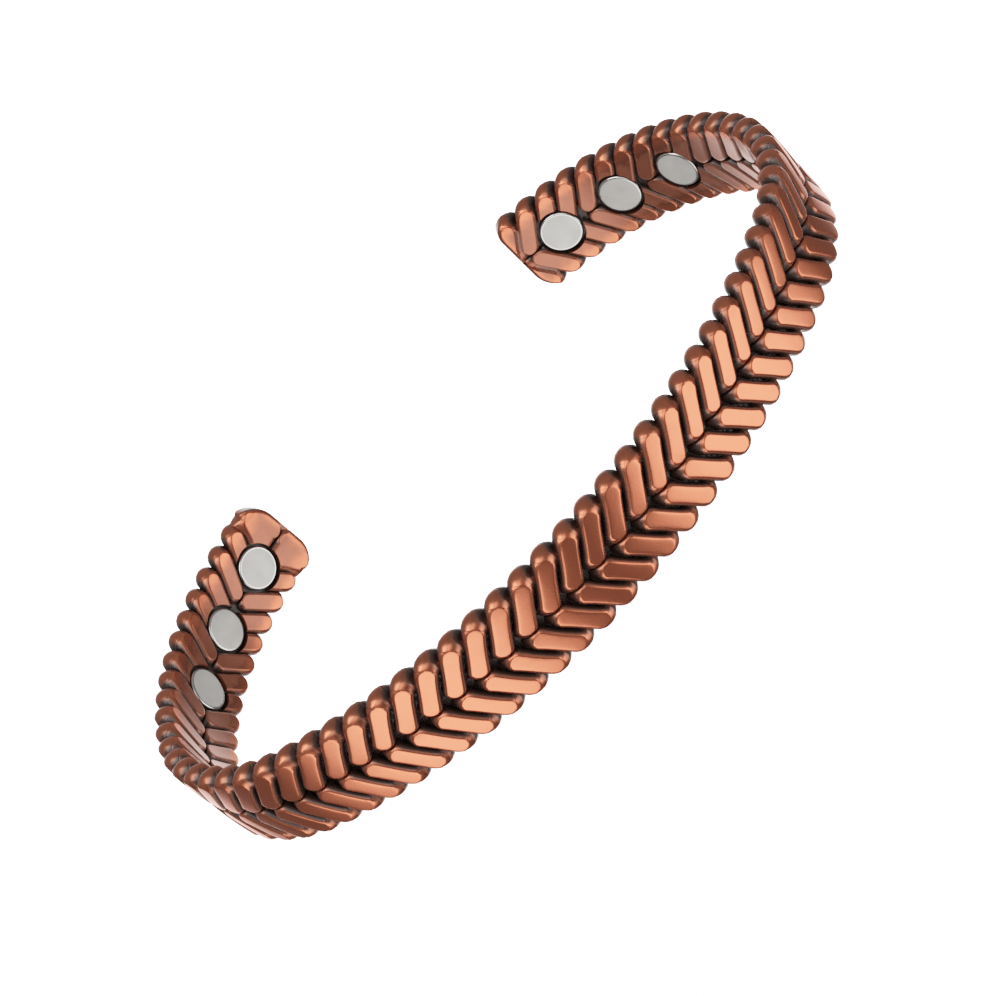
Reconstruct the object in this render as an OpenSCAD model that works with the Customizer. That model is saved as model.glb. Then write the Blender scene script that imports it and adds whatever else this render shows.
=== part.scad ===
// Copper cuff bracelet: two strands of twisted wire side by side, pressed flat, with disc magnets let into the inner face.
// Row frame: +Z up through the wrist hole, the cuff lies on its lower edge, the opening faces +Y.

/* [Cuff] */
// Length along the working line of the band from tip to tip, mm
band_length = 166.2; // [160:0.1:170]
// Radius of the back, along the working line of the band, mm
back_radius = 50.2; // [48:0.1:54]
// Radius of the two tight bends along the same line, mm
bend_radius = 18.7; // [17.5:0.1:20]
// Radius of the two end arms along the same line, mm
arm_radius = 26.8; // [25:0.1:29]
// Length of the back from its middle to where a bend starts, mm
back_reach = 31.8; // [30:0.1:33]
// Length of one bend, mm
bend_reach = 20.8; // [19.5:0.1:22]

/* [Strand] */
// Spacing of the wire crossings along the band, mm
lobe_pitch = 2.55; // [2.5:0.01:2.6]
// Width of one strand across the band, mm
strand_width = 4.74; // [4.6:0.01:4.8]
// Clear space between the two strands, mm
strand_gap = 0.1; // [0.06:0.01:0.2]
// Width of a wire, measured across its run on the face, mm
wire_width = 1.9; // [1.8:0.01:1.96]
// Depth of a wire, through the band, mm
wire_depth = 1.12; // [1.1:0.01:1.14]
// Share of a wire's width that is flat on the faces
flat_share = 0.66; // [0.6:0.01:0.7]
// How far the turns along the centre line are squashed against the other strand, mm
tuck = 0.4; // [0.3:0.01:0.45]
// Height of the pressed outer face above the working line of the band, mm
outer_flat = 1; // [0.95:0.01:1.1]
// Height of the pressed inner face above the working line of the band, mm
inner_flat = 1.4; // [1.35:0.01:1.5]
// Rings of points for each full turn of a wire
rings_per_turn = 8; // [8:2:10]

/* [Tips] */
// Length of the solder fill at each end, mm
fill_length = 2.7; // [2.5:0.1:2.8]
// Corner radius of the rounded ends, seen from the face, mm
tip_corner = 2.1; // [1.8:0.1:2.1]

/* [Magnets] */
// Diameter of a magnet, mm
magnet_d = 4.3; // [4:0.1:4.4]
// Thickness of a magnet, mm
magnet_t = 0.6; // [0.5:0.01:0.65]
// Diameter of a pocket, mm
pocket_d = 4.8; // [4.7:0.1:5]
// Depth of a pocket below the inner face, mm
pocket_depth = 0.76; // [0.76:0.01:0.8]
// Depth of a magnet's face below the inner face, mm
magnet_sink = 0.08; // [0.05:0.01:0.1]
// Distance from a tip to the middle of its first magnet, mm
magnet_first = 5.3; // [5:0.1:6]
// Spacing of the magnets along the band, mm
magnet_step = 7.65; // [7.5:0.01:8]

/* [Hidden] */
copper = [0.79, 0.47, 0.37];
steel = [0.72, 0.71, 0.69];
half = band_length / 2;
// Turning angles in degrees where one arc passes into the next
back_turn = back_reach / back_radius * 180 / PI;
bend_turn = back_turn + bend_reach / bend_radius * 180 / PI;
// Arc centres of the right half
back_centre = [0, back_radius];
bend_centre = back_centre + (back_radius - bend_radius) * [sin(back_turn), -cos(back_turn)];
arm_centre = bend_centre + (bend_radius - arm_radius) * [sin(bend_turn), -cos(bend_turn)];
// Wire path inside a strand
strand_mid = strand_gap / 2 + strand_width / 2;
wander = (strand_width - wire_width + tuck) / 2;
rise = wire_depth / 2 + 0.04;
wire_offset = (outer_flat - inner_flat) / 2;
squareness = 2.2;
sharpness = 0.96;
ring_step = lobe_pitch * 2 / rings_per_turn;
// The wires end inside the solder
half_rings = floor((half - fill_length) / ring_step);
// Lift and shift that put the lower edge on the floor and the box's middle on the Z axis
lift = strand_gap / 2 + strand_width;
shift = -(band_top() - outer_flat) / 2;
solder_middle = (outer_flat - inner_flat) / 2;
solder_thick = (outer_flat + inner_flat) / 2 + 0.03;
tip_sides = 12;
pocket_twist = 11;

// Turning angle of the band, in degrees, at a distance q from the middle of the back
function turn_at(q) =
    q <= back_reach ? q / back_radius * 180 / PI :
    q <= back_reach + bend_reach ? back_turn + (q - back_reach) / bend_radius * 180 / PI :
    bend_turn + (q - back_reach - bend_reach) / arm_radius * 180 / PI;
function radius_at(q) = q <= back_reach ? back_radius : q <= back_reach + bend_reach ? bend_radius : arm_radius;
function centre_at(q) = q <= back_reach ? back_centre : q <= back_reach + bend_reach ? bend_centre : arm_centre;
// Point on the right half of the band, at a height h out from the middle line
function right_point(q, h) = centre_at(q) + (radius_at(q) + h) * [sin(turn_at(q)), -cos(turn_at(q))];
// Point at a signed distance q along the band, a height h outwards and a height z up
function band_point(q, h, z) =
    let (p = right_point(abs(q), h))
    [sign(q) * p[0], p[1] + shift, z + lift];
function band_top() = right_point(half - tip_corner / 2, outer_flat)[1] - 0.028;

// Rounded square wave between -1 and 1
function square_sine(a) = tanh(squareness * sin(a)) / tanh(squareness);
function tanh(x) = (exp(x) - exp(-x)) / (exp(x) + exp(-x));
// Rounded triangle wave between -1 and 1
function slant(a) = asin(sharpness * cos(a)) / asin(sharpness);
// Middle of a wire before the band is bent: along, outwards, across
function wire_mid(q, first) =
    let (a = 180 * q / lobe_pitch + first)
    [q, wire_offset + rise * square_sine(a), strand_mid - tuck / 2 - wander * slant(a)];
function unit(v) = v / norm(v);
// Six corners of the wire's section, flat towards both faces
function section() = [for (c = [[1, 0], [flat_share, 1], [-flat_share, 1], [-1, 0], [-flat_share, -1], [flat_share, -1]])
    [wire_width / 2 * c[0], wire_depth / 2 * c[1]]];
function pressed(h) = min(max(h, -inner_flat), outer_flat);
function tucked(z) = max(z, strand_gap / 2);
function wire_ring(q, first, side) =
    let (
        m = wire_mid(q, first),
        t = unit(wire_mid(q + 0.05, first) - wire_mid(q - 0.05, first)),
        up = unit([0, 1, 0] - t[1] * t),
        across = cross(t, up)
    )
    [for (s = section()) let (p = m + s[0] * across + s[1] * up) band_point(p[0], pressed(p[1]), side * tucked(p[2]))];

// One wire of a strand: side 1 is the upper strand, side -1 the lower
module wire(first, side) {
    ring_at = [for (i = [-half_rings:half_rings]) i * ring_step];
    points = [for (q = ring_at) each wire_ring(q, first, side)];
    last = len(ring_at) - 1;
    walls = [for (i = [0:last - 1], j = [0:5])
        let (a = 6 * i + j, b = 6 * i + (j + 1) % 6)
        each [[a, b, b + 6], [a, b + 6, a + 6]]];
    caps = [[5, 4, 3, 2, 1, 0], [for (j = [0:5]) 6 * last + j]];
    faces = concat(walls, caps);
    polyhedron(points = points, faces = side < 0 ? faces : [for (f = faces) [for (k = [len(f) - 1:-1:0]) f[k]]]);
}

// Moves a child drawn along +X, out along +Y and up along +Z to a place on the band
module on_band(q, h, z) {
    p = band_point(q, h, z);
    translate(p)
        rotate([0, 0, sign(q) * turn_at(abs(q))])
            children();
}

// A ball or disc of solder at a tip, as thick as the pressed band
module solder(q, z, r, thick) {
    on_band(q, solder_middle, z)
        scale([1, thick / r, 1])
            rotate([0, 0, 11])
                sphere(r = r, $fn = tip_sides);
}

// Soldered end of a strand, rounded at its outer corner, with a notch on the band's centre line
module tip(end, side) {
    hull() {
        for (q = [half - tip_corner, half - fill_length - 0.4])
            solder(end * q, side * (lift - tip_corner), tip_corner, solder_thick);
        for (q = [half - 1.6, half - fill_length])
            solder(end * q, side * strand_mid, 1.6, solder_thick);
        for (q = [half - 1.25, half - fill_length])
            on_band(end * q, solder_middle, side * (strand_gap / 2 + 0.01))
                scale([1, 1.15, 1])
                    cylinder(r = 1, h = 0.02, center = true, $fn = 9);
    }
}

// Pocket for a magnet, cut from the inner face
module pocket(q) {
    on_band(q, pocket_depth - inner_flat, 0)
        rotate([90, pocket_twist, 0])
            hull()
                for (h = [0, 4])
                    translate([0, 0, -h])
                        cylinder(d = pocket_d, h = 0.2, $fn = 20);
}

module strand(side) {
    difference() {
        union() {
            for (first = [0, 180]) wire(first, side);
            for (end = [-1, 1]) tip(end, side);
        }
        for (end = [-1, 1], k = [0:2]) pocket(end * (half - magnet_first - k * magnet_step));
    }
}

module upper_strand() color(copper) strand(1);
module lower_strand() color(copper) strand(-1);

// Disc with a small chamfer round its face, counted from the tip
module magnet(end, count) {
    q = end * (half - magnet_first - (count - 1) * magnet_step);
    color(steel)
        on_band(q, magnet_sink - inner_flat, 0)
            rotate([-90, 0, 0]) {
                translate([0, 0, 0.12]) cylinder(d = magnet_d, h = magnet_t - 0.12);
                cylinder(d1 = magnet_d - 0.24, d2 = magnet_d, h = 0.12);
            }
}

upper_strand();
lower_strand();
magnet(-1, 1);  // magnet_left_1
magnet(-1, 2);  // magnet_left_2
magnet(-1, 3);  // magnet_left_3
magnet(1, 1);  // magnet_right_1
magnet(1, 2);  // magnet_right_2
magnet(1, 3);  // magnet_right_3
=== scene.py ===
import math

import bmesh
import bpy
import numpy as np
from mathutils import Matrix, Vector


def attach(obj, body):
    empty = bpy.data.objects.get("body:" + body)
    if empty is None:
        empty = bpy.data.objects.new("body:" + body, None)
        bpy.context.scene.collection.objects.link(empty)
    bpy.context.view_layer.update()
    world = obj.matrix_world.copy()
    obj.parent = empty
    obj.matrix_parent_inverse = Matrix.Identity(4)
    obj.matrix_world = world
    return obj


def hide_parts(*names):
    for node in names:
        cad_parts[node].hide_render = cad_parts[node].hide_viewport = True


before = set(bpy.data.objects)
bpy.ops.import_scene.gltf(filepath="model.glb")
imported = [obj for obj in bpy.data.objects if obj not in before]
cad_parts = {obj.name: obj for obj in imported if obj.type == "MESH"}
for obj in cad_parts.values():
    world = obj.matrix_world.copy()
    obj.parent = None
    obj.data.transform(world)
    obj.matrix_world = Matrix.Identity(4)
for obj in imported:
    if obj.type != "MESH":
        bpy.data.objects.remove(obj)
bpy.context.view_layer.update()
MM = 0.001

# Band curve: back, tight bend and end arm, each an arc
back_radius, bend_radius, arm_radius = 50.2, 18.7, 26.8
back_reach, bend_reach = 31.8, 20.8
half = 83.1
back_turn = back_reach / back_radius
bend_turn = back_turn + bend_reach / bend_radius
# Shift that puts the middle of the cuff's box on the Z axis
band_drop = -24.478

# Strands, two wires to each
pitch = 2.55
strand_width, strand_gap = 4.74, 0.1
lift = strand_gap / 2 + strand_width
# Gap between the two strands' solder and webs
SEAM = 0.02

# Half thickness and half width of a wire over the outer face, over the inner face, and at its folds near
# the other strand and far from it
wire_thick, wire_wide = 0.62, 0.94
inner_thick, inner_wide = 0.8, 1.02
near_thick, near_wide = 0.98, 1.1
far_thick, far_wide = 1.14, 1.12
# Squareness of the section, 2 for an ellipse
flat_boxiness, fold_boxiness = 2.6, 2
# Reach of a fold's section along the band, how sharply it ends, and how late the far one comes
near_reach, far_reach = 0.36, 0.56
fold_power = 2.5
far_shift = 0.14
# Sine of a wire's twist where the inner face's section sets in, and where it is reached
inner_from, inner_to = 0.1, 0.5

# Path of a wire through the band: middle level and greatest swing, the waves that are cut off there, how
# sharply, and their shift along the band
wire_offset, rise = -0.2, 0.605
near_wave, far_wave = 1.85, 0.9
level_power = 6
fold_lag = -0.05
# Path of a wire across its strand: turning places, and length of each turn along the band
nearest_z, furthest_z = 0.62, 3.66
near_span, far_span = 1.0, 1.5

# Pressed faces: heights, where the outer one is highest, its fall from there and the lean of single flats
outer_flat, inner_flat = 0.95, 1.38
flat_middle, crown, tilt = 2.3, 0.016, 0.016
lean_step, lean_start = 7.3, 2.1
# Softness of the flats' rims, and of the wires' sides pressed against the other strand
RIM, SIDE_RIM = 0.025, 0.1

# Rows of points round a wire: places across a flat as shares of its half angle, number of rows down a
# side, and angle of the bevel between the two
FACE_ROWS = np.array([-1.0, -0.85, -0.45, 0.0, 0.45, 0.85, 1.0])
SIDE_ROWS = 5
BEVEL = 0.12
# Half angle of a flat: least, most, and growth past the flat's end
FACE_LEAST, FACE_MOST, FACE_GROWTH = 0.06, 0.55, 1.6
# Rings of points along a wire: greatest step, turn and change of the flat's edge from one to the next
LONGEST_STEP, TURN_STEP, EDGE_STEP = 1.1, 0.3, 0.13
# Places tried for the rings, and the step that gives a wire's direction
FINE_PLACES = 80001
SLOPE_STEP = 0.005

# Web between the wires: depths of its two faces below the wires' middle level, far edge and rings
web_low, web_high, web_top = 0.55, 0.05, 3.3
WEB_RINGS = 140

# Tips: corner radii seen from the face, rounding of the rim, and thinning of the outer face
tip_corners = {(-1, 1): 3.0, (-1, -1): 2.6, (1, 1): 1.9, (1, -1): 2.8}
tip_edge = 0.55
tip_thinning, thin_from, thin_to = 0.34, 3.5, 0.3
# Length of the wires and the solder past the tips before they are cut
overrun = 1.0
# Solder at each tip: reach, depths below the inner and the outer face, and slant of its inner edge
solder_at = {-1: (3.25, -0.03, 0.03, -0.45), 1: (2.2, 0.12, 0.1, -0.3)}
solder_half = 2.2
# Solder's section as a power of a circle, and how it swells from its thin inner edge
SOLDER_POWER = 0.3
solder_lip, swell_share, swell_start = 0.25, 0.22, 0.02
SOLDER_RINGS, SOLDER_SIDES = 15, 40
# Grid of the block that rounds the ends, as start, stop and count, across the band and through it
CUTTER_ACROSS, CUTTER_THROUGH = (-1.0, 5.6, 60), (-2.2, 2.2, 40)
CUTTER_LENGTH = 4

# Magnets: size, sink below the inner face, rounded rim, and places counted from the tip
magnet_d, magnet_t = 4.3, 0.6
magnet_sink = 0.08
magnet_chamfer = 0.2
magnet_first, magnet_step = 5.3, 7.65
MAGNET_COUNTS = (1, 2, 3)
MAGNET_SIDES = 96
# Slight fall of a magnet's face just inside its rim, and the small chamfer of its back
face_fall_width, face_fall = 0.1, 0.008
back_chamfer_width, back_chamfer_depth = 0.05, 0.1
RIM_STEPS = 5
# Depth below the face where the polished rim begins
POLISHED_FROM = 0.004
# Pockets, cut out to a level inside the wrist hole, and the bed of solder round each pocket's bottom
pocket_d, pocket_depth, pocket_out = 5.0, 0.76, -3.0
bed_d, bed_over, bed_under = 4.9, 0.1, 0.3
POCKET_SIDES, BED_SIDES = 72, 48

# Bareness of patina, with the painted shade lifted, on the inner face, on the rolls at the band's edge and
# middle line, and at the tips
inner_bare_unshaded, edge_bare_unshaded, middle_bare_unshaded, tip_bare_unshaded = 0.62, 0.78, 0.5, 0.6
# Start and end of its fades: depth below a face, distance from the edge, distance from the middle line,
# height at the middle line, how far a surface faces away from the band's run, and distance from the tip
FACE_FADE, EDGE_FADE, MIDDLE_FADE = (0.24, 0.04), (2.0, 1.1), (1.3, 0.9)
HEIGHT_FADE, FACING_FADE, TIP_FADE = (0.25, 0.6), (0.6, 0.95), (1.2, 0.4)

# Copper's looks by bareness of patina and painted shade, from the grooves' near-black patina and painted
# shade to the pressed faces
COPPER_COLOURS = (
    (0.0, (0.014, 0.006, 0.004)),
    (0.32, (0.06, 0.020, 0.012)),
    (0.65, (0.38, 0.118, 0.066)),
    (1.0, (0.90, 0.235, 0.122)),
)
COPPER_ROUGHNESS = ((0.0, 0.5), (0.6, 0.32), (1.0, 0.24))
COPPER_METAL = ((0.0, 0.35), (0.7, 1.0))
COPPER_VARNISH = ((0.0, 0.25), (0.4, 0.85), (0.9, 0.12))
VARNISH_ROUGHNESS = 0.14
BLOTCH_SCALE, BLOTCH_SPREAD = 900.0, 0.22
COPPER_GRAIN, COPPER_BUMP, COPPER_BUMP_DEPTH = 5200.0, 0.08, 0.00005
WIRE_CREASE = 50

# Nickel's looks: cloudy satin face, and by polish the bright rim
NICKEL_COLOURS = ((0.3, (0.31, 0.30, 0.283)), (0.7, (0.37, 0.358, 0.336)))
NICKEL_RIM = (0.62, 0.605, 0.58, 1)
NICKEL_METAL = ((0.0, 0.6), (1.0, 1.0))
NICKEL_ROUGHNESS = ((0.0, 0.42), (1.0, 0.16))
CLOUD_SCALE = 700.0
NICKEL_GRAIN, NICKEL_BUMP, NICKEL_BUMP_DEPTH = 9000.0, 0.06, 0.00003
MAGNET_CREASE = 40

# Camera, from the photo's perspective
camera_at = Vector((-1.48, -179.27, 98.12)) * MM
camera_aim = Vector((-1.36, -33.82, 20.22)) * MM
camera_roll = math.radians(-47.9)
camera_lens, camera_sensor = 82.676, 36
camera_near, camera_far = 0.01, 20

# Studio floor: half its size in metres, its grey and its glow
FLOOR_SIZE, FLOOR_GREY, FLOOR_GLOW = 3.0, 0.9, 5.2
# Dome: height where its brightness starts to rise and where it is full, and the two brightnesses
DOME_FROM, DOME_TO = -0.3, 0.5
DOME_DARK, DOME_BRIGHT = 0.24, 0.5
# Bright screens: azimuth, elevation, full-brightness angle, fade-out angle, strength
SCREENS = (
    (-133, -28, 12, 30, 3.3),
    (-44, -28, 13, 32, 3.3),
    (-90, 38, 10, 30, 2.5),
    (90, -35, 20, 50, 3.0),
)
# Tone curve: brightness that becomes white, steps on the way, and the curve that all colours share
WHITE = 6.0
TONE_STEPS = (0.25, 0.5, 0.9, 1.4, 2.0, 2.8, 3.8, 5.0)
SHARED_CURVE = 3


def arcs(q):
    """Turning angle, radius and arc centre of the right half at distances q from the back's middle."""
    in_back = q <= back_reach
    in_bend = q <= back_reach + bend_reach
    turn = np.where(in_back, q / back_radius, back_turn + (q - back_reach) / bend_radius)
    turn = np.where(in_bend, turn, bend_turn + (q - back_reach - bend_reach) / arm_radius)
    radius = np.where(in_back, back_radius, np.where(in_bend, bend_radius, arm_radius))
    bend_x = (back_radius - bend_radius) * math.sin(back_turn)
    bend_y = back_radius - (back_radius - bend_radius) * math.cos(back_turn)
    arm_x = bend_x + (bend_radius - arm_radius) * math.sin(bend_turn)
    arm_y = bend_y - (bend_radius - arm_radius) * math.cos(bend_turn)
    centre_x = np.where(in_back, 0.0, np.where(in_bend, bend_x, arm_x))
    centre_y = np.where(in_back, back_radius, np.where(in_bend, bend_y, arm_y))
    return turn, radius, centre_x, centre_y


def on_band(points):
    """Bends points (along, outwards, across) onto the band, in the row frame and in metres."""
    points = np.asarray(points, float)
    q, h, z = points[..., 0], points[..., 1], points[..., 2]
    turn, radius, centre_x, centre_y = arcs(np.abs(q))
    x = np.sign(q) * (centre_x + (radius + h) * np.sin(turn))
    y = centre_y - (radius + h) * np.cos(turn) + band_drop
    return np.stack([x, y, z + lift], -1) * MM


def smoothstep(low, high, v):
    """Soft step from 0 at low to 1 at high."""
    t = np.clip((v - low) / (high - low), 0, 1)
    return t * t * (3 - 2 * t)


def soft_minimum(v, limit, soft):
    """The smaller of a value and a limit, rounded where they meet."""
    return limit - soft * np.logaddexp(0, (limit - v) / soft)


def unit(v):
    return v / np.linalg.norm(v, axis=-1, keepdims=True)


def boxy(v, box):
    """Sine or cosine of a squarer curve than a circle."""
    return np.sign(v) * np.abs(v) ** (2 / box[:, None])


def nearest_fold(q, first):
    """Number of the nearest fold of a wire, and how far past it a place lies."""
    count = np.round(q / pitch + first)
    return count, q - (count - first) * pitch


def section_sizes(q, first):
    """Half width, half thickness and squareness of a wire: flat over the faces, round where it folds."""
    count, offset = nearest_fold(q, first)
    at_near = count % 2 == 0
    inside = smoothstep(inner_from, inner_to, -np.sin((q / pitch + first) * math.pi))
    past = np.where(at_near, offset / near_reach, (offset - far_shift) / far_reach)
    fold = np.exp(-np.abs(past) ** fold_power)
    wide = wire_wide + (inner_wide - wire_wide) * inside
    thick = wire_thick + (inner_thick - wire_thick) * inside
    wide += (np.where(at_near, near_wide, far_wide) - wide) * fold
    thick += (np.where(at_near, near_thick, far_thick) - thick) * fold
    return wide, thick, flat_boxiness + (fold_boxiness - flat_boxiness) * fold


def wire_path(q, first):
    """Middle line of a wire before bending: straight over one face, folded, and back over the other."""
    count, offset = nearest_fold(q, first)
    at_near = count % 2 == 0
    share = np.where(at_near, np.abs(offset), pitch - np.abs(offset)) / pitch
    height = near_wave + (far_wave - near_wave) * share
    wave = np.where(at_near, height, -height) * np.sin((offset + fold_lag) * math.pi / pitch)
    level = wave / (1 + np.abs(wave / rise) ** level_power) ** (1 / level_power)
    span = np.where(at_near, near_span, far_span)
    slope = (furthest_z - nearest_z) / (pitch - (near_span + far_span) * (0.5 - 1 / math.pi))
    turn = np.clip(offset / span, -0.5, 0.5) * math.pi
    straight = np.maximum(np.abs(offset) - span / 2, 0)
    away = slope * (span / math.pi * (1 - np.cos(turn)) + straight)
    z = np.where(at_near, nearest_z + away, furthest_z - away)
    return np.stack([q, wire_offset + level, z], -1)


def wire_frame(q, first):
    """Middle of a wire, its direction, and the two directions across it, the first of them outwards."""
    tangent = unit(wire_path(q + SLOPE_STEP, first) - wire_path(q - SLOPE_STEP, first))
    up = unit(np.array([0.0, 1.0, 0.0]) - tangent[:, 1:2] * tangent)
    return wire_path(q, first), tangent, up, np.cross(tangent, up)


def face_angles(middle_h, up_h, thick, box, flat):
    """Angle from a wire's top to the edge of its pressed flat, wider past the flat's end."""
    reach = (flat - middle_h) / (thick * up_h)
    on_flat = np.arccos(np.clip(reach, 0, 1) ** (box / 2))
    past_end = FACE_GROWTH * np.sqrt(np.clip(reach - 1, 0, 1))
    return np.clip(on_flat + past_end, FACE_LEAST, FACE_MOST)


def ring_places(first, reach):
    """Distances along the band of a wire's rings: close together where it folds and where a flat ends."""
    fine = np.linspace(-reach, reach, FINE_PLACES)
    middle, tangent, up, _ = wire_frame(fine, first)
    _, thick, box = section_sizes(fine, first)
    top = face_angles(middle[:, 1], up[:, 1], thick, box, outer_flat)
    low = face_angles(-middle[:, 1], up[:, 1], thick, box, inner_flat)
    need = (np.linalg.norm(np.diff(middle, axis=0), axis=1) / LONGEST_STEP
            + np.linalg.norm(np.diff(tangent, axis=0), axis=1) / TURN_STEP
            + (np.abs(np.diff(top)) + np.abs(np.diff(low))) / EDGE_STEP)
    total = np.concatenate([[0], np.cumsum(need)])
    return np.interp(np.linspace(0, total[-1], int(total[-1])), total, fine)


def outer_level(q):
    """Height of the pressed outer face, lower at the tips."""
    return outer_flat - tip_thinning * smoothstep(half - thin_from, half - thin_to, np.abs(q))


def pressed(points, lean):
    """Presses points softly against both faces of the band and against the other strand."""
    beyond = points[..., 2] - flat_middle
    level = outer_level(points[..., 0]) - crown * beyond ** 2 + lean * beyond
    points[..., 1] = np.where(points[..., 1] > 0, soft_minimum(points[..., 1], level, RIM),
                              -soft_minimum(-points[..., 1], inner_flat, RIM))
    points[..., 2] = -soft_minimum(-points[..., 2], -strand_gap / 2, SIDE_RIM)
    return points


def wire_points(first, reach):
    """Rings of points of one wire, on the straight band."""
    q = ring_places(first, reach)
    middle, _, up, across = wire_frame(q, first)
    wide, thick, box = section_sizes(q, first)
    top = face_angles(middle[:, 1], up[:, 1], thick, box, outer_flat)
    low = face_angles(-middle[:, 1], up[:, 1], thick, box, inner_flat)
    share = np.linspace(0, 1, SIDE_ROWS)[None, :]
    side_from, side_to = top + BEVEL, math.pi - low - BEVEL
    side_rows = side_from[:, None] + (side_to - side_from)[:, None] * share
    theta = np.concatenate([
        top[:, None] * FACE_ROWS,
        side_rows,
        math.pi + low[:, None] * FACE_ROWS,
        2 * math.pi - side_rows[:, ::-1],
    ], axis=1)
    sideways = (wide[:, None] * boxy(np.sin(theta), box))[..., None]
    outwards = (thick[:, None] * boxy(np.cos(theta), box))[..., None]
    points = middle[:, None, :] + sideways * across[:, None, :] + outwards * up[:, None, :]
    # Each pressed flat leans a little its own way
    lean = tilt * np.sin(lean_step * np.floor((q / pitch + first) / 2) + lean_start * first)
    return pressed(points, lean[:, None])


def new_object(name, points, faces):
    mesh = bpy.data.meshes.new(name)
    mesh.from_pydata([tuple(p) for p in points], [], faces)
    mesh.update()
    thing = bpy.data.objects.new(name, mesh)
    bpy.context.collection.objects.link(thing)
    return thing


def face_outwards(mesh):
    """Turns the faces of a closed mesh outwards."""
    form = bmesh.new()
    form.from_mesh(mesh)
    if form.calc_volume(signed=True) < 0:
        bmesh.ops.reverse_faces(form, faces=form.faces)
    form.to_mesh(mesh)
    form.free()


def tube(name, rings):
    """Closed mesh through rings of points, facing outwards."""
    count, rows = rings.shape[:2]
    faces = []
    for i in range(count - 1):
        for j in range(rows):
            k = (j + 1) % rows
            faces.append((i * rows + j, i * rows + k, (i + 1) * rows + k, (i + 1) * rows + j))
    faces.append(tuple(range(rows - 1, -1, -1)))
    faces.append(tuple((count - 1) * rows + j for j in range(rows)))
    thing = new_object(name, rings.reshape(-1, 3), faces)
    face_outwards(thing.data)
    return thing


def combine(thing, other, operation):
    """Solid union or difference with another closed mesh, which is then removed."""
    step = thing.modifiers.new("combine", "BOOLEAN")
    step.operation = operation
    step.solver = "MANIFOLD"
    step.object = other
    shaped = bpy.data.meshes.new_from_object(thing.evaluated_get(bpy.context.evaluated_depsgraph_get()))
    thing.modifiers.clear()
    thing.data = shaped
    bpy.data.objects.remove(other)


def web(name):
    """Metal squeezed between the wires, deep down in the band."""
    low, high = wire_offset - web_low, wire_offset - web_high
    rings = []
    for q in np.linspace(-half, half, WEB_RINGS):
        rings.append([(q, low, SEAM / 2), (q, high, SEAM / 2), (q, high, web_top), (q, low, web_top)])
    return tube(name, np.array(rings))


def signed_power(v):
    return math.copysign(abs(v) ** SOLDER_POWER, v)


def solder_core(name, end):
    """Solder between the wires at a tip: a flat block whose inner edge follows the slant of the wires."""
    reach, sink_in, sink_out, slant = solder_at[end]
    rings = []
    for step in range(SOLDER_RINGS):
        share = step / (SOLDER_RINGS - 1)
        along = half - reach + share * (reach + overrun)
        swell = math.sqrt(min(1.0, share / swell_share + swell_start))
        ring = []
        for k in range(SOLDER_SIDES):
            a = 2 * math.pi * k / SOLDER_SIDES
            c, d = math.cos(a), math.sin(a)
            z = SEAM / 2 + solder_half * (1 + signed_power(c))
            level = outer_flat - tip_thinning - sink_out if d > 0 else inner_flat - sink_in
            h = level * signed_power(d) * (solder_lip + (1 - solder_lip) * swell)
            ring.append((end * (along + slant * (lift - z)), h, z))
        rings.append(ring)
    return tube(name, np.array(rings))


def end_cutter(name, end, side):
    """What lies beyond a rounded end, as a block with the end's surface on its near side."""
    zs = np.linspace(*CUTTER_ACROSS)
    hs = np.linspace(*CUTTER_THROUGH)
    corner = tip_corners[end, side]
    middle = (outer_flat - inner_flat) / 2
    thick = (outer_flat + inner_flat) / 2
    near, far = [], []
    for z in zs:
        for h in hs:
            u = min(1.0, max(0.0, (z - (lift - corner)) / corner))
            v = min(1.0, max(0.0, (abs(h - middle) - (thick - tip_edge)) / tip_edge))
            q = half - corner * (1 - math.sqrt(1 - u * u)) - tip_edge * (1 - math.sqrt(1 - v * v))
            near.append((end * q, h, z))
            far.append((end * (half + CUTTER_LENGTH), h, z))
    cols = len(hs)
    size = len(near)
    faces = []
    for i in range(len(zs) - 1):
        for j in range(cols - 1):
            a = i * cols + j
            faces.append((a, a + 1, a + cols + 1, a + cols))
            faces.append((size + a, size + a + cols, size + a + cols + 1, size + a + 1))
    rim = list(range(cols)) + [i * cols + cols - 1 for i in range(1, len(zs))]
    rim += [size - 2 - j for j in range(cols - 1)] + [i * cols for i in range(len(zs) - 2, 0, -1)]
    for a, b in zip(rim, rim[1:] + rim[:1]):
        faces.append((b, a, size + a, size + b))
    thing = new_object(name, near + far, faces)
    face_outwards(thing.data)
    return thing


def disc_block(name, q, radius, levels, sides, lowest):
    """Round block through the band between two levels, cut off below the lowest z."""
    angles = [2 * math.pi * k / sides for k in range(sides)]
    rings = []
    for h in levels:
        rings.append([(q + radius * math.cos(a), h, max(lowest, radius * math.sin(a))) for a in angles])
    return tube(name, np.array(rings))


def magnet_bed(name, q):
    """Solder under a magnet, closing the gaps between the wires, on one strand's side alone."""
    levels = (pocket_depth - bed_over - inner_flat, pocket_depth + bed_under - inner_flat)
    return disc_block(name, q, bed_d / 2, levels, BED_SIDES, SEAM / 2)


def pocket_cutter(name, q):
    levels = (pocket_depth - inner_flat, pocket_out)
    return disc_block(name, q, pocket_d / 2, levels, POCKET_SIDES, -pocket_d)


def magnet_place(end, count):
    """Distance along the band of a magnet, counted from its tip."""
    return end * (half - magnet_first - (count - 1) * magnet_step)


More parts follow.
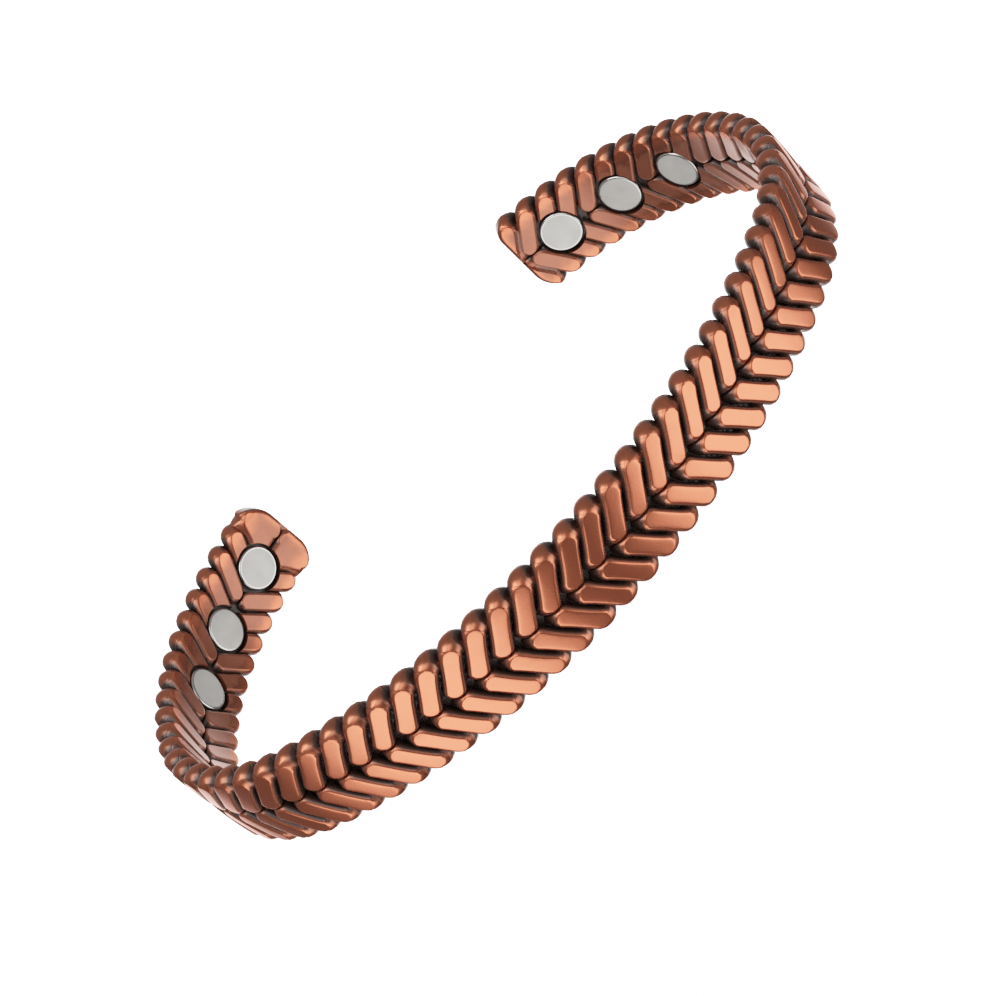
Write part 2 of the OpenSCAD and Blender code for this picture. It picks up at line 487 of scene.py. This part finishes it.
def strand(name, side):
    """One strand: two wires soldered at both tips, cut to the rounded ends, with the magnets' pockets."""
    piece = tube(name, wire_points(0, half + overrun))
    combine(piece, tube("second_wire", wire_points(1, half + overrun)), "UNION")
    combine(piece, web("web"), "UNION")
    for end in (-1, 1):
        combine(piece, solder_core("solder", end), "UNION")
    for end in (-1, 1):
        combine(piece, end_cutter("end_cutter", end, side), "DIFFERENCE")
        for count in MAGNET_COUNTS:
            q = magnet_place(end, count)
            combine(piece, magnet_bed("magnet_bed", q), "UNION")
            combine(piece, pocket_cutter("pocket_cutter", q), "DIFFERENCE")
    mesh = piece.data
    clean(mesh)
    store_patina_and_painted_shade(mesh)
    points = mesh_values(mesh, "co")
    points[:, 2] *= side
    mesh.vertices.foreach_set("co", on_band(points).ravel())
    mesh.update()
    face_outwards(mesh)
    return piece


def clean(mesh):
    """Splits faces of many corners, and removes faces that lie back to back on the same corners."""
    form = bmesh.new()
    form.from_mesh(mesh)
    bmesh.ops.triangulate(form, faces=[face for face in form.faces if len(face.verts) > 4])
    sharing = {}
    for face in form.faces:
        sharing.setdefault(frozenset(face.verts), []).append(face)
    doubled = [face for faces in sharing.values() if len(faces) > 1 for face in faces]
    bmesh.ops.delete(form, geom=doubled, context="FACES")
    form.to_mesh(mesh)
    form.free()


def mesh_values(mesh, kind):
    """Three numbers for each point of a mesh, such as its place or its normal."""
    values = np.empty(len(mesh.vertices) * 3)
    mesh.vertices.foreach_get(kind, values)
    return values.reshape(-1, 3)


def store_patina_and_painted_shade(mesh):
    """Stores how bare of patina and how free of painted shade each point is: 1 on the outer flats, less on
    the rest, 0 in the grooves.
    """
    q, h, z = mesh_values(mesh, "co").T
    facing = np.hypot(*mesh_values(mesh, "normal").T[1:])
    face_from, face_to = FACE_FADE
    # Painted shade with patina: darker the deeper a point lies below the pressed faces, so the grooves and
    # the gaps between wires go dark
    face = np.maximum(smoothstep(-face_from, -face_to, h - outer_level(q)),
                      inner_bare_unshaded * smoothstep(inner_flat - face_from, inner_flat - face_to, -h))
    # Painted shade lifted on the rolls at the edge and middle line that face away from the neighbouring
    # wires, and at the tips
    at_edge = edge_bare_unshaded * smoothstep(lift - EDGE_FADE[0], lift - EDGE_FADE[1], z)
    at_middle = middle_bare_unshaded * smoothstep(*MIDDLE_FADE, z) * smoothstep(*HEIGHT_FADE, h)
    roll = np.maximum(at_edge, at_middle) * smoothstep(*FACING_FADE, facing)
    roll = np.maximum(roll, tip_bare_unshaded * smoothstep(half - TIP_FADE[0], half - TIP_FADE[1], np.abs(q)))
    # Stored level: 1 for bare and unshaded metal, 0 for patina and painted shade
    layer = mesh.attributes.new("bare_and_unshaded", "FLOAT", "POINT")
    layer.data.foreach_set("value", (1 - (1 - face) * (1 - roll)).astype(np.float32))


def disc_profile():
    """Radius and depth of a magnet's rings of points, from its face round the rim to its back."""
    r = magnet_d / 2
    profile = [(r * 0.5, 0), (r - magnet_chamfer - face_fall_width, 0.0), (r - magnet_chamfer, face_fall)]
    for step in range(1, RIM_STEPS + 1):
        angle = step / RIM_STEPS * math.pi / 2
        profile.append((r - magnet_chamfer * (1 - math.sin(angle)), magnet_chamfer * (1 - math.cos(angle))))
    profile += [(r, magnet_t - back_chamfer_depth), (r - back_chamfer_width, magnet_t), (r * 0.5, magnet_t)]
    return profile


def magnet(name, q):
    """Disc with a rounded rim, which carries how polished it is."""
    profile = disc_profile()
    rings = len(profile)
    turn = arcs(np.array(abs(q)))[0]
    middle = on_band(np.array([q, magnet_sink - inner_flat, 0.0]))
    along = np.array([math.cos(turn), math.copysign(math.sin(turn), q), 0.0])
    outward = np.array([math.copysign(math.sin(turn), q), -math.cos(turn), 0.0])
    upward = np.array([0.0, 0.0, 1.0])
    points, faces = [], []
    for r, depth in profile:
        for k in range(MAGNET_SIDES):
            a = 2 * math.pi * k / MAGNET_SIDES
            place = along * r * math.cos(a) + upward * r * math.sin(a) + outward * depth
            points.append(middle + place * MM)
    for i in range(rings - 1):
        here, there = i * MAGNET_SIDES, (i + 1) * MAGNET_SIDES
        for k in range(MAGNET_SIDES):
            n = (k + 1) % MAGNET_SIDES
            faces.append((here + k, here + n, there + n, there + k))
    faces.append(tuple(range(MAGNET_SIDES - 1, -1, -1)))
    faces.append(tuple((rings - 1) * MAGNET_SIDES + k for k in range(MAGNET_SIDES)))
    thing = new_object(name, points, faces)
    polish = thing.data.attributes.new("polish", "FLOAT", "POINT")
    rim = [1.0 if depth > POLISHED_FROM else 0.0 for _, depth in profile]
    polish.data.foreach_set("value", np.repeat(np.array(rim, np.float32), MAGNET_SIDES))
    return thing


def nodes_of(owner):
    """Emptied node tree of a material or a world."""
    owner.use_nodes = True
    tree = owner.node_tree
    tree.nodes.clear()
    return tree


def add(tree, kind, **inputs):
    """New node with numbers or colours set on its inputs."""
    node = tree.nodes.new(kind)
    for key, value in inputs.items():
        node.inputs[key.replace("_", " ")].default_value = value
    return node


def maths(tree, operation, *inputs):
    """Result of a sum on numbers and other nodes' results."""
    node = tree.nodes.new("ShaderNodeMath")
    node.operation = operation
    for socket, value in zip(node.inputs, inputs):
        if isinstance(value, float):
            socket.default_value = value
        else:
            tree.links.new(value, socket)
    return node.outputs[0]


def ramp(tree, source, stops):
    """Colour of a ramp with a colour or a grey level at each place, read at a source."""
    node = tree.nodes.new("ShaderNodeValToRGB")
    elements = node.color_ramp.elements
    while len(elements) < len(stops):
        elements.new(0.5)
    for element, (at, level) in zip(elements, stops):
        element.position = at
        element.color = (*level, 1.0) if isinstance(level, tuple) else (level, level, level, 1.0)
    tree.links.new(source, node.inputs["Fac"])
    return node.outputs["Color"]


def noise(tree, **inputs):
    """Noise over a piece's own coordinates."""
    place = tree.nodes.new("ShaderNodeTexCoord")
    node = add(tree, "ShaderNodeTexNoise", **inputs)
    tree.links.new(place.outputs["Object"], node.inputs["Vector"])
    return node.outputs["Fac"]


def attribute(tree, name):
    node = tree.nodes.new("ShaderNodeAttribute")
    node.attribute_name = name
    return node.outputs["Fac"]


def grained(tree, grain, strength, depth):
    """Normal of a surface with a fine grain."""
    node = add(tree, "ShaderNodeBump", Strength=strength, Distance=depth)
    tree.links.new(grain, node.inputs["Height"])
    return node.outputs["Normal"]


def finish_material(tree, shader, linked):
    """Links results to the shader's inputs, and the shader to the surface."""
    for key, result in linked.items():
        tree.links.new(result, shader.inputs[key])
    out = tree.nodes.new("ShaderNodeOutputMaterial")
    tree.links.new(shader.outputs["BSDF"], out.inputs["Surface"])


def copper_material(name):
    """Copper, bare or dark by the patina and painted shade stored on the mesh, a little blotchy, with
    varnish over the rolls.
    """
    material = bpy.data.materials.new(name)
    tree = nodes_of(material)
    blotch = noise(tree, Scale=BLOTCH_SCALE, Detail=4.0, Roughness=0.6)
    # Patina and painted shade: the stored level, made blotchy, picks the colour, near-black in the grooves
    lowered = maths(tree, "SUBTRACT", attribute(tree, "bare_and_unshaded"), BLOTCH_SPREAD / 2)
    bare_and_unshaded_level = maths(tree, "MULTIPLY_ADD", blotch, BLOTCH_SPREAD, lowered)
    grain = noise(tree, Scale=COPPER_GRAIN, Detail=3.0, Roughness=0.6)
    shader = add(tree, "ShaderNodeBsdfPrincipled", Coat_Roughness=VARNISH_ROUGHNESS)
    finish_material(tree, shader, {
        "Base Color": ramp(tree, bare_and_unshaded_level, COPPER_COLOURS),
        "Metallic": ramp(tree, bare_and_unshaded_level, COPPER_METAL),
        "Roughness": ramp(tree, bare_and_unshaded_level, COPPER_ROUGHNESS),
        "Coat Weight": ramp(tree, bare_and_unshaded_level, COPPER_VARNISH),
        "Normal": grained(tree, grain, COPPER_BUMP, COPPER_BUMP_DEPTH),
    })
    return material


def nickel_material(name):
    """Nickel plate, satin on the face and bright on the rim by the polish stored on the mesh."""
    material = bpy.data.materials.new(name)
    tree = nodes_of(material)
    polish = attribute(tree, "polish")
    cloud = noise(tree, Scale=CLOUD_SCALE, Detail=3.0)
    tint = tree.nodes.new("ShaderNodeMix")
    tint.data_type = "RGBA"
    tint.inputs["B"].default_value = NICKEL_RIM
    tree.links.new(ramp(tree, cloud, NICKEL_COLOURS), tint.inputs["A"])
    tree.links.new(polish, tint.inputs["Factor"])
    grain = noise(tree, Scale=NICKEL_GRAIN, Detail=2.0)
    finish_material(tree, add(tree, "ShaderNodeBsdfPrincipled"), {
        "Base Color": tint.outputs["Result"],
        "Metallic": ramp(tree, polish, NICKEL_METAL),
        "Roughness": ramp(tree, polish, NICKEL_ROUGHNESS),
        "Normal": grained(tree, grain, NICKEL_BUMP, NICKEL_BUMP_DEPTH),
    })
    return material


def finish_piece(thing, node, material, crease):
    mesh = thing.data
    mesh.materials.clear()
    mesh.materials.append(material)
    mesh.polygons.foreach_set("use_smooth", [True] * len(mesh.polygons))
    mesh.set_sharp_from_angle(angle=math.radians(crease))
    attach(thing, "root")
    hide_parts(node)


def floor():
    """Pale floor that glows evenly and isn't mirrored in the metal."""
    size = FLOOR_SIZE
    corners = [(-size, -size, 0), (size, -size, 0), (size, size, 0), (-size, size, 0)]
    thing = new_object("studio_floor", corners, [(0, 1, 2, 3)])
    material = bpy.data.materials.new("floor_pale")
    tree = nodes_of(material)
    shader = add(tree, "ShaderNodeBsdfPrincipled", Roughness=1.0, Specular_IOR_Level=0.0,
                 Base_Color=(FLOOR_GREY, FLOOR_GREY, FLOOR_GREY, 1),
                 Emission_Color=(1, 1, 1, 1), Emission_Strength=FLOOR_GLOW)
    finish_material(tree, shader, {})
    thing.data.materials.append(material)
    thing.visible_glossy = False


def direction(azimuth, elevation):
    a, e = math.radians(azimuth), math.radians(elevation)
    return (math.cos(a) * math.cos(e), math.sin(a) * math.cos(e), math.sin(e))


def fade(tree, source, start, stop, low, high):
    """Soft change from low to high while a source goes from start to stop."""
    node = tree.nodes.new("ShaderNodeMapRange")
    node.interpolation_type = "SMOOTHSTEP"
    tree.links.new(source, node.inputs["Value"])
    for key, value in (("From Min", start), ("From Max", stop), ("To Min", low), ("To Max", high)):
        node.inputs[key].default_value = value
    return node.outputs["Result"]


def studio_world():
    """Soft studio surroundings: a pale dome, and bright screens with dark between them."""
    world = bpy.data.worlds.new("studio")
    bpy.context.scene.world = world
    tree = nodes_of(world)
    place = tree.nodes.new("ShaderNodeTexCoord").outputs["Generated"]
    parts = tree.nodes.new("ShaderNodeSeparateXYZ")
    tree.links.new(place, parts.inputs[0])
    total = fade(tree, parts.outputs["Z"], DOME_FROM, DOME_TO, DOME_DARK, DOME_BRIGHT)
    for azimuth, elevation, inner, outer, strength in SCREENS:
        dot = tree.nodes.new("ShaderNodeVectorMath")
        dot.operation = "DOT_PRODUCT"
        tree.links.new(place, dot.inputs[0])
        dot.inputs[1].default_value = direction(azimuth, elevation)
        edge, full = math.cos(math.radians(outer)), math.cos(math.radians(inner))
        glow = fade(tree, dot.outputs["Value"], edge, full, 0, strength)
        total = maths(tree, "ADD", total, glow)
    back = tree.nodes.new("ShaderNodeBackground")
    tree.links.new(total, back.inputs["Strength"])
    out = tree.nodes.new("ShaderNodeOutputWorld")
    tree.links.new(back.outputs[0], out.inputs["Surface"])


def soft_light(name, place, aim, size, power):
    data = bpy.data.lights.new(name, "AREA")
    data.shape = "RECTANGLE"
    data.size, data.size_y = size
    data.energy = power
    lamp = bpy.data.objects.new(name, data)
    lamp.location = place
    lamp.rotation_euler = (Vector(aim) - Vector(place)).to_track_quat("-Z", "Y").to_euler()
    bpy.context.collection.objects.link(lamp)


def camera():
    """Camera at the photo's viewing angle, rolled about its own axis."""
    data = bpy.data.cameras.new("camera")
    data.lens = camera_lens
    data.sensor_width = camera_sensor
    data.clip_start = camera_near
    data.clip_end = camera_far
    eye = bpy.data.objects.new("camera", data)
    forward = (camera_aim - camera_at).normalized()
    level = forward.cross(Vector((0, 0, 1))).normalized()
    upright = level.cross(forward)
    right = level * math.cos(camera_roll) + upright * math.sin(camera_roll)
    up = right.cross(forward)
    turn = Matrix((right, up, -forward)).transposed()
    eye.matrix_world = Matrix.Translation(camera_at) @ turn.to_4x4()
    bpy.context.collection.objects.link(eye)
    bpy.context.scene.camera = eye


def photographic_tone():
    """Film-like tone: brightness levels off softly towards white."""
    view = bpy.context.scene.view_settings
    view.view_transform = "Standard"
    view.use_curve_mapping = True
    curves = view.curve_mapping
    curves.white_level = (WHITE, WHITE, WHITE)
    curve = curves.curves[SHARED_CURVE]
    for x in TONE_STEPS:
        curve.points.new(x / WHITE, (1 - math.exp(-x)) / (1 - math.exp(-WHITE)))
    curves.update()


# Strands
for side_name, side in (("upper", 1), ("lower", -1)):
    node = side_name + "_strand"
    slot_name = "copper_" + side_name
    wires = strand(node + "_wires", side)
    finish_piece(wires, node, copper_material(slot_name), WIRE_CREASE)

# Magnets
nickel = nickel_material("magnet_nickel")
for end_name, end in (("left", -1), ("right", 1)):
    for count in MAGNET_COUNTS:
        node = "magnet_%s_%d" % (end_name, count)
        disc = magnet(node + "_disc", magnet_place(end, count))
        finish_piece(disc, node, nickel, MAGNET_CREASE)

# Studio
floor()
studio_world()
soft_light("key_light", place=(-0.25, -0.2, 0.5), aim=(0, 0, 0), size=(0.4, 0.4), power=2)
camera()
photographic_tone()
